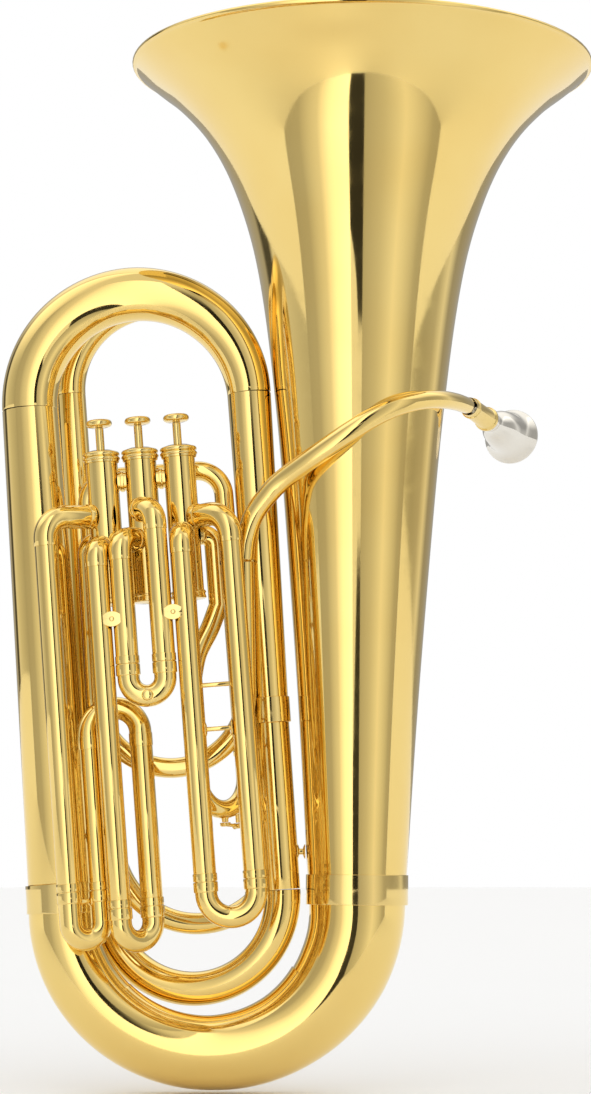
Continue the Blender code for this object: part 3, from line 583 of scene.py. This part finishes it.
def leg_into_casing(letter, casing, foot_h, port_h, bend, heading=None):
    """A fixed leg that runs up into an elbow and meets its casing, with a collar where the two join."""
    corner, axis = leg_point(letter, port_h), casing_axis(casing, port_h)
    heading = (heading or axis - corner).normalized()
    reach = (axis - corner).dot(heading)
    centre = corner + heading * bend - ALONG * bend
    elbow = quarter_turn(centre, -heading * bend, ALONG * bend)
    aside = (axis - corner - heading * reach).length
    last = corner + heading * (reach - math.sqrt(CASING_R**2 - aside**2) + 0.9)
    joint = elbow[0] - ALONG * 5
    leg = drawn("leg", [leg_point(letter, foot_h), joint], LEG_R, LEG_WALL)
    bent = drawn("elbow", [joint, *elbow, last], LEG_R + 0.35, LEG_WALL + 0.35)
    collar = sleeve("collar", last - heading * 5.0, last - heading * 1.2, LEG_R + 0.3, 0.7, SMALL)
    return joined(leg, bent, collar, stop_ring(leg_point(letter, foot_h), LEG_R))


def crook(first, last, top, foot, bend_h, radius=CROOK_R, inner=INNER_LEG_R, band=9):
    """A U that slides: inner legs, a rounded band below each fixed leg, and the bend."""
    outer = radius + 0.9
    steps = (
        (top, inner), (foot - 0.3, inner), (foot - 0.35, outer - 0.45), (foot - 0.7, outer - 0.1),
        (foot - 1.1, outer), (foot - band + 0.5, outer), (foot - band + 0.1, outer - 0.15),
        (foot - band - 0.25, outer - 0.5), (foot - band - 0.3, radius),
    )
    down = [slant(*first, height) for height, _ in steps]
    up = [slant(*last, height) for height, _ in reversed(steps)]
    start, end = slant(*first, bend_h), slant(*last, bend_h)
    bend = half_turn(start, end, ALONG * (-(start - end).length / 2), steps=40)
    sizes = [size for _, size in steps]
    return drawn("crook", down + bend + up, sizes + [radius] * len(bend) + sizes[::-1], 0.5, edge=0)


def flange(centre, way, radius=6.4):
    """A soldered foot of a brace, domed towards its bar."""
    rim, dome, tip = (FLANGE_THICK * share for share in (0.7, 1.5, 1.8))
    outline = ((0, 0), (radius, 0), (radius - 0.3, rim), (radius * 0.55, dome), (0, tip))
    return turned("flange", outline, centre, way, SMALL, edge=0.25)


def make_third_slide():
    foot_ab, foot_cd = -226.0, -241.0
    in_brass(leg_into_casing("a", 1, foot_ab, 64, 18), "third_slide_outer_leg")
    in_brass(leg_into_casing("c", 1, foot_cd, 38, 11), "third_slide_return_leg")
    left, right = leg_point("b", -107, LINK_DEPTH), leg_point("d", -107, RETURN_DEPTH)
    over = half_turn(left, right, ALONG * ((right - left).length / 2), DEPTH * 6, 40)
    foot_b, foot_d = leg_point("b", foot_ab, LINK_DEPTH), leg_point("d", foot_cd, RETURN_DEPTH)
    link = drawn("link", [foot_b, *over, foot_d], LEG_R - 0.2, LEG_WALL)
    rings = [
        sleeve("ring", point - ALONG * 11, point - ALONG * 1, LEG_R - 0.2, 0.45, SMALL)
        for point in (left, right)
    ]
    stops = [stop_ring(point, LEG_R - 0.2) for point in (foot_b, foot_d)]
    in_brass(joined(link, *rings, *stops), "third_slide_link")
    at_b, at_d = (SLIDE_ACROSS["b"], LINK_DEPTH), (SLIDE_ACROSS["d"], RETURN_DEPTH)
    outer = crook(front("a"), at_b, -120, foot_ab, -250.5)
    low, high = leg_point("a", -234), leg_point("b", -234, LINK_DEPTH)
    way = (high - low).normalized()
    pull = bar("pull", low + way * 7, high - way * 7, 2.0)
    feet = flange(low + way * 8.0, way, 4.6), flange(high - way * 8.0, -way, 4.6)
    in_brass(joined(outer, pull, *feet), "third_slide_outer_crook")
    in_brass(crook(front("c"), at_d, -150, foot_cd, -252.6), "third_slide_inner_crook")


def make_first_slide():
    foot = -226.0
    inner, outer = leg_into_casing("e", 3, foot, 44, 11), leg_into_casing("f", 3, foot, 58, 19)
    pieces = []
    for height, footed in ((-76, False), (-110, True)):
        start, end = leg_point("e", height) + ACROSS * 7.5, leg_point("f", height) - ACROSS * (LEG_R + 0.2)
        pieces.append(bar("brace", start, end, 1.8))
        if footed:
            pieces += [flange(start + ACROSS * 0.4, ACROSS), flange(end - ACROSS * 0.1, -ACROSS)]
    in_brass(joined(inner, *pieces), "first_slide_inner_leg")
    in_brass(outer, "first_slide_outer_leg")
    low = crook(front("e"), front("f"), -130, foot, -235.2, band=8)
    in_brass(low, "first_slide_crook")


def make_second_slide():
    foot = -55.0
    in_brass(leg_into_casing("g", 2, foot, 43, 12), "second_slide_left_leg")
    heading = ACROSS * -0.6 + DEPTH * 0.8
    in_brass(leg_into_casing("h", 2, foot, 66, 13, heading), "second_slide_right_leg")
    low = crook(front("g"), front("h"), -5, foot, -66.6)
    outline = [(0, 7), (2.0, 7), (2.0, 9.6), *arc(1.9, 12.0, 2.6, -60, 80, 10), (0, 14.7)]
    knob = turned("knob", outline, slant(-5.2, SLIDE_DEPTH, -80.8), -DEPTH, SMALL)
    in_brass(joined(low, knob), "second_slide_crook")


def make_tuning_slide():
    """The inlet leg, the crook with its water key, and the crossover behind the casings."""
    port_h, bend = 45, 9.4
    axis, leg_top = casing_axis(3, port_h), slant(53, -16, port_h)
    out = (leg_top - axis).normalized()
    turn = quarter_turn(leg_top - out * bend - ALONG * bend, ALONG * bend, out * bend)
    knots = (53, -16, -12), (45, -20, -30), (34, -27.5, -50), (28.2, -31, -72)
    jog = smooth_path([slant(*knot) for knot in knots])
    foot = slant(*TUNING_LEFT, TUNING_FOOT_H)
    path = [foot, *jog[::-1], *turn[::-1], axis + out * (CASING_R - 0.8)]
    inlet = drawn("inlet", path, TUNING_R, LEG_WALL)
    stop = stop_ring(foot, TUNING_R)
    near, far = axis + out * (CASING_R + 0.6), axis + out * (CASING_R + 4)
    collar = sleeve("collar", near, far, TUNING_R, 0.7, SMALL)
    in_brass(joined(inlet, stop, collar), "tuning_inlet_leg")
    bend, level = 21, 98
    right_top, left_top = slant(63.5, -3, level), slant(-45.3, 2, level)
    up = smooth_path([slant(*TUNING_RIGHT, -60), slant(63.8, 0, 10), slant(63.5, -3, level - bend)])
    toward = (left_top - right_top).normalized()
    over = quarter_turn(right_top + toward * bend - ALONG * bend, -toward * bend, ALONG * bend)[1:]
    down = quarter_turn(left_top - toward * bend - ALONG * bend, ALONG * bend, toward * bend)
    tail = smooth_path([slant(-45.3, 2, 76), slant(-45.3, 9.5, 56), slant(-45.3, 11.5, 34.8)])
    foot = slant(*TUNING_RIGHT, TUNING_FOOT_H)
    crossover = drawn("crossover", [foot, *up, *over, *down, *tail[1:]], TUNING_R, LEG_WALL)
    in_brass(joined(crossover, stop_ring(foot, TUNING_R)), "crossover_tube")
    slide = crook(TUNING_LEFT, TUNING_RIGHT, -75, TUNING_FOOT_H, TUNING_CROOK_H, 7.2, TUNING_INNER_R, 6)
    left, right = slant(*TUNING_LEFT, TUNING_CROOK_H), slant(*TUNING_RIGHT, TUNING_CROOK_H)
    sideways = (right - left).normalized()
    low = (left + right) / 2 - ALONG * ((right - left).length / 2)
    outline = ((1.6, 6), (3.4, 6), (2.6, 8), (2.6, 10), (1.6, 10))
    nipple = turned("nipple", outline, low, -ALONG, SMALL, edge=0.2)
    post = low + sideways * 13 - ALONG * 3
    ear = bar("ear", post + ALONG * 6, post - ALONG * 8, 1.6)
    in_brass(joined(slide, nipple, ear), "main_tuning_slide")
    make_water_key(low, sideways, post - ALONG * 10.5)


def make_water_key(low, sideways, hinge):
    """A cork cup under the nipple, its lever, pivot barrel and thumb plate."""
    top = low - ALONG * 10.3
    outline = ((0, 0), (3.9, 0), (4.2, 0.4), (4.2, 2.2), (3.4, 3.0), (0, 3.2))
    cup = turned("cup", outline, top, -ALONG, SMALL, edge=0.2)
    across = sideways.cross(ALONG).normalized()
    arm_start, arm_end = top - ALONG * 1.8, hinge + sideways * 3
    arm = drawn("arm", [arm_start, arm_end], (1.3, 1.5), None, 20)
    barrel = bar("barrel", hinge - across * 4, hinge + across * 4, 2.1)
    ends = [turned("end", ((0, 0), (2.4, 0), (2.4, 0.7), (0, 1.0)), hinge + way * 3.6, way, 24, edge=0.15)
            for way in (across, -across)]
    tail = smooth_path([hinge, hinge + sideways * 6 - ALONG * 1.4, hinge + sideways * 11 - ALONG * 4])
    lever = drawn("lever", tail, (1.5, 1.3), None, 20)
    thumb = turned("thumb", ((0, 0.3), (2.8, 0), (3.8, 0.5), (3.7, 1.4), (0, 1.6)),
                   hinge + sideways * 11 - ALONG * 4.8, ALONG, SMALL, edge=0.2)
    in_pale_brass(joined(cup, arm, barrel, *ends, lever, thumb), "water_key")


def make_inlet_bow():
    right, left = slant(70.4, -16, -77), slant(-47.9, -10.5, -77)
    top, axis = slant(-47.4, -6, 36), casing_axis(1, 46)
    inward = (axis - slant(-47.4, -6, 46)).normalized()
    turn = quarter_turn(top + inward * 10, -inward * 10, ALONG * 10)
    reach = (axis - turn[-1]).length - CASING_R + 0.8
    bow = half_turn(right, left, ALONG * (-(right - left).length / 2))
    path = [slant(75.6, -27, 20), *bow, *turn, turn[-1] + inward * reach]
    in_brass(drawn("inlet", path, (7.9, 7.6), 0.6), "inlet_bow")


# ------------------------------------------------------------------ mouthpipe

MOUTHPIPE = (
    (-40.5, -27.2, 413.8), (-38.6, -29.5, 430), (-32.4, -36, 447.6), (-20.4, -44, 463.6),
    (-7.4, -50.8, 475.2), (17.4, -66, 491.2), (42, -77, 506.8), (60, -79.5, 517.8), (78.5, -76.5, 526.8),
    (96.5, -66, 533), (112.6, -49, 536.6), (126, -26.5, 538.6), (136.5, -4.0, 539.2),
)
RECEIVER_START, RECEIVER_WAY, RECEIVER_LENGTH = (138.2, 0.2, 539.2), (0.37, 0.925, -0.075), 48.0


def sketch(x, y, z):
    return Vector((x + ORIGIN_X, y, z))


def make_mouthpipe():
    path = smooth_path([sketch(*point) for point in MOUTHPIPE])
    in_brass(drawn("mouthpipe", path, (7.8, 8.2, 8.0, 7.2, 6.6), 0.6), "mouthpipe")
    start, way = sketch(*RECEIVER_START), Vector(RECEIVER_WAY).normalized()
    length = RECEIVER_LENGTH
    outline = [
        (7.05, -0.2), (7.4, -0.2), (7.6, 5.6), *arc(7.4, 7.2, 1.2, -70, 70, 8), (7.9, 9.0),
        (8.2, length - 6.2), *arc(8.0, length - 2.6, 2.0, -60, 0, 6), (10.0, length - 1.2),
        (9.6, length - 0.2), (9.0, length), (7.05, length),
    ]
    in_pale_brass(turned("receiver", outline, start, way), "mouthpiece_receiver")
    profile = [
        (5.9, 0), (6.5, 24), (7.1, 26), *arc(6.6, 30.5, 1.6, -50, 50, 8), (7.1, 34.5), (7.2, 39), (8.2, 43),
        (10.6, 47), (13.0, 51), (14.9, 57), (16.2, 65), (17.0, 74), (18.2, 80), (20.4, 84.6),
        *arc(20.0, 88.9, 2.9, -30, 100, 14), (17.2, 91.2), (16.5, 88.6), (16.0, 84), (15.4, 76), (13.8, 67),
        (11.0, 59.5), (7.6, 54), (5.0, 50.5), (4.1, 47), (4.3, 36), (4.6, 24), (5.4, 0),
    ]
    tip = start + way * (length - 24)
    mouthpiece = turned("mouthpiece", profile, tip, way, FINE)
    placed(mouthpiece, "mouthpiece", SILVERED)


# ------------------------------------------------------------------ braces

def eye_plate(centre, half_width, half_height, thick):
    """A pointed oval plate facing the front, with the end of its bar in the middle."""
    curve = bpy.data.curves.new("plate", "CURVE")
    curve.dimensions, curve.fill_mode = "2D", "BOTH"
    curve.extrude, curve.bevel_depth, curve.bevel_resolution = thick / 2 * MM, 0.35 * MM, 2
    spline = curve.splines.new("POLY")
    steps = 24
    shape = [(2 * i / steps - 1, 1) for i in range(steps)] + [(1 - 2 * i / steps, -1) for i in range(steps)]
    spline.points.add(len(shape) - 1)
    for knot, (along, side) in zip(spline.points, shape):
        rise = side * (1 - along * along) ** 0.8
        knot.co = (along * half_width * MM, rise * half_height * MM, 0, 1)
    spline.use_cyclic_u = True
    plate = bpy.data.objects.new("plate", curve)
    bpy.context.scene.collection.objects.link(plate)
    plate.location = centre * MM
    plate.rotation_euler = (math.pi / 2, -LEAN, 0)
    select_only(plate)
    bpy.ops.object.convert(target="MESH")
    bpy.ops.object.transform_apply(location=True, rotation=True, scale=True)
    edit_all(plate, face_outwards)
    pin = turned("pin", [(0, 0), *arc(0.9, thick + 0.2, 1.1, 0, 90, 6), (0, thick + 1.3)], centre, -DEPTH, 24)
    return smoothed(joined(plate, pin))


def make_braces():
    start, end = Vector((-1.5, 0, 186)), Vector((5.6, 0, 186))
    rod = bar("rod", start, end, 2.4)
    feet = [flange(start + Vector((0.6, 0, 0)), Vector((1, 0, 0)), 5.8), flange(end, Vector((-1, 0, 0)), 5.8)]
    in_pale_brass(joined(rod, *feet), "bell_brace")
    for name, height in (("upper_branch_brace", -22), ("lower_branch_brace", -186)):
        near, far = slant(OUTER, -2, height), leg_point("a", height)
        way = (far - near).normalized()
        reach = (far - near).length - LEG_R
        branch = spread((22.4, 26.4), (TOP_BOW_H - height) / (TOP_BOW_H + 236))
        rod = bar("rod", near + way * (branch - 0.2), near + way * (reach + 0.2), 2.2)
        feet = [flange(near + way * (branch + 0.1), way, 6.4), flange(near + way * (reach - 0.1), -way, 6.0)]
        in_pale_brass(joined(rod, *feet), name)
    for name, letters, height in (("left_tube_plate", "cg", -20), ("right_tube_plate", "he", -18)):
        middle = (leg_point(letters[0], height) + leg_point(letters[1], height)) / 2
        in_pale_brass(eye_plate(middle - DEPTH * 7.3, 9.2, 5.6, 1.6), name)


# ------------------------------------------------------------------ studio

CAMERA_PLACE, CAMERA_PITCH, LENS = (-0.0021, -2.247, 0.170), math.radians(96.506), 93.8
BOX_DISTANCE, BOX_WIDTH, BOX_LOW, BOX_HIGH = 0.46, 1.1, -0.1, 1.15
GAP_LEFT, GAP_RIGHT = -0.045, 0.055
CLOTH_X, CLOTH_Z, CLOTH_WIDTH, CLOTH_LENGTH = 0.05, 0.002, 1.2, 8.0
FLOOR_SIZE, FLOOR_Z = 60, -0.0008
HOTTEST = 3.0  # the brightest level of the panels and walls, which their ramps count from
LEFT_LEVELS = ((0, 0.45), (0.5, 0.5), (0.76, 0.85), (0.86, 1.4), (1, 1.8))
RIGHT_LEVELS = ((0, 0.5), (0.12, 0.65), (0.28, 0.95), (0.45, 0.75), (0.7, 0.5), (1, 0.45))
WALL_LEVELS = (  # round the room in degrees from the lens, positive towards the mouthpiece
    (-180, 0.4), (-136, 0.4), (-130, 0.08), (-119, 0.08), (-113, 0.8), (-95, 0.65), (-60, 0.45), (-35, 0.02),
    (35, 0.02), (60, 0.5), (85, 0.42), (102, 0.5), (116, 0.8), (129, 0.35), (180, 0.4),
)


def make_camera():
    bpy.ops.object.camera_add(location=CAMERA_PLACE, rotation=(CAMERA_PITCH, 0, 0))
    camera = bpy.context.object
    camera.data.lens, camera.data.sensor_width = LENS, 36
    camera.data.clip_start = 0.05
    bpy.context.scene.camera = camera


def grey_stops(pairs):
    return tuple((place, (level / HOTTEST,) * 3) for place, level in pairs)


def soft_panel(name, x_low, x_high, levels):
    """A tall diffuser beside the lens, lit unevenly across; it lights the brass and isn't seen itself."""
    middle, width = (x_low + x_high) / 2, x_high - x_low
    bpy.ops.mesh.primitive_plane_add(size=1, location=(middle, -BOX_DISTANCE, (BOX_LOW + BOX_HIGH) / 2),
                                     rotation=(math.pi / 2, 0, 0))
    panel = bpy.context.object
    panel.name = name
    panel.scale = (width, BOX_HIGH - BOX_LOW, 1)
    bpy.ops.object.transform_apply(location=True, rotation=True, scale=True)
    material = bpy.data.materials.new(name)
    tree = Tree(material)
    tree.nodes.remove(tree.nodes["Principled BSDF"])
    place = tree.node("ShaderNodeTexCoord", output=3)
    across = tree.node("ShaderNodeSeparateXYZ", None, {"Vector": place}, output=0)
    share = (across - x_low) * (1 / width)
    level = tree.node("ShaderNodeValToRGB", {"stops": grey_stops(levels)}, {"Fac": share})
    glow = tree.node("ShaderNodeEmission", None, {"Color": (1, 0.985, 0.95, 1), "Strength": level * HOTTEST})
    tree.fill(tree.nodes["Material Output"], {"Surface": glow})
    panel.data.materials.append(material)
    panel.visible_camera = False
    panel.visible_shadow = False


def dark_cloth():
    """A black cloth on the floor under the lens, seen only in the brass, where it keeps the gap dark."""
    place = (CLOTH_X, -BOX_DISTANCE - CLOTH_LENGTH / 2, CLOTH_Z)
    bpy.ops.mesh.primitive_plane_add(size=1, location=place)
    cloth = bpy.context.object
    cloth.name = "dark_cloth"
    cloth.scale = (CLOTH_WIDTH, CLOTH_LENGTH, 1)
    bpy.ops.object.transform_apply(location=True, rotation=True, scale=True)
    material = bpy.data.materials.new("dark_cloth")
    Tree(material).nodes["Principled BSDF"].inputs["Base Color"].default_value = (0.01, 0.01, 0.01, 1)
    cloth.data.materials.append(material)
    cloth.visible_camera = False
    cloth.visible_diffuse = False
    cloth.visible_shadow = False


def make_floor():
    bpy.ops.mesh.primitive_plane_add(size=FLOOR_SIZE, location=(0, 0, FLOOR_Z))
    floor = bpy.context.object
    floor.name = "floor"
    bpy.ops.object.transform_apply(location=True, rotation=True, scale=True)
    material = bpy.data.materials.new("pale_floor")
    tree = Tree(material)
    place = tree.node("ShaderNodeTexCoord", output=3)
    grain = tree.node("ShaderNodeTexNoise", None, {"Vector": place, "Scale": 3.0})
    rough = tree.between(grain, 0.3, 0.7, 0.75, 0.9)
    tree.fill(tree.nodes["Principled BSDF"], {"Base Color": (0.985, 0.983, 0.978, 1), "Roughness": rough})
    floor.data.materials.append(material)


def make_world():
    """Plain white behind the instrument and over the floor; in the brass, pale walls, dark by the lens."""
    world = bpy.data.worlds.new("studio")
    bpy.context.scene.world = world
    tree = Tree(world)
    way = tree.node("ShaderNodeTexCoord", output=0)
    split = tree.nodes.new("ShaderNodeSeparateXYZ")
    tree.fill(split, {"Vector": way})
    x, y, z = (Value(tree, output) for output in split.outputs)
    around = x.math("ARCTAN2", 0 - y) * (1 / TURN) + 0.5
    stops = grey_stops(((degrees + 180) / 360, level) for degrees, level in WALL_LEVELS)
    walls = tree.node("ShaderNodeValToRGB", {"stops": stops}, {"Fac": around})
    top = tree.between(z, 0.35, 0.8, 0.0, 0.8)
    below = tree.between(z, -0.5, -0.05, 0.25, 1.0)
    strength = walls * below * HOTTEST + top
    rays = tree.nodes.new("ShaderNodeLightPath")
    camera, floor = (Value(tree, rays.outputs[f"Is {kind} Ray"]) for kind in ("Camera", "Diffuse"))
    seen = camera.math("MAXIMUM", floor)
    reflected = tree.node("ShaderNodeBackground", None, {"Color": (1, 0.99, 0.965, 1), "Strength": strength})
    plain = tree.node("ShaderNodeBackground", None, {"Color": (1, 1, 1, 1), "Strength": 1.0})
    mixed = tree.node("ShaderNodeMixShader", None, {0: seen, 1: reflected, 2: plain})
    tree.fill(tree.nodes["World Output"], {"Surface": mixed})
    bpy.context.scene.view_settings.view_transform = "Standard"


make_camera()
make_bell()
make_bottom_bow()
make_bottom_guard()
make_branches()
for valve in (1, 2, 3):
    make_valve(valve)
make_knuckles()
make_third_slide()
make_first_slide()
make_second_slide()
make_tuning_slide()
make_inlet_bow()
make_mouthpipe()
make_braces()
make_floor()
soft_panel("left_panel", GAP_LEFT - BOX_WIDTH, GAP_LEFT, LEFT_LEVELS)
soft_panel("right_panel", GAP_RIGHT, GAP_RIGHT + BOX_WIDTH, RIGHT_LEVELS)
dark_cloth()
make_world()
